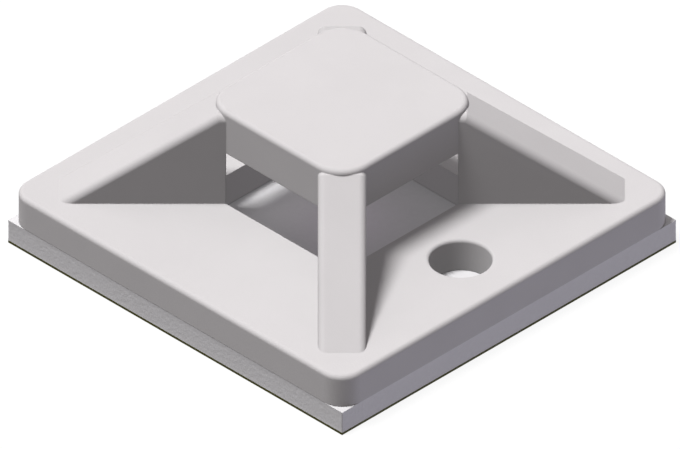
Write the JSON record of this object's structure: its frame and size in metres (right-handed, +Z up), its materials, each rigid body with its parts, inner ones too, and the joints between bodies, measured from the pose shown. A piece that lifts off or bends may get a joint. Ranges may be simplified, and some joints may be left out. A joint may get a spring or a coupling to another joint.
{
  "type": "cable tie mount",
  "caption": "Square adhesive-backed cable tie mount: plate with diagonal ribs carrying a raised cap that a tie threads under, and a screw hole.",
  "frame": {"origin": "centre of the square footprint, on the underside of the release liner", "axes": "+Z up out of the surface that the mount is stuck to, through the middle of the cap; +X towards the side with the screw hole"},
  "size_m": [0.028, 0.028, 0.0104],
  "materials": {
    "moulded_nylon": "light grey moulded nylon, fine satin",
    "foam_tape": "white closed-cell foam tape",
    "liner_paper": "olive waxed release paper"
  },
  "bodies": {
    "root": {"mount_body": "moulded_nylon", "foam_pad": "foam_tape", "release_liner": "liner_paper"}
  },
  "joints": []
}
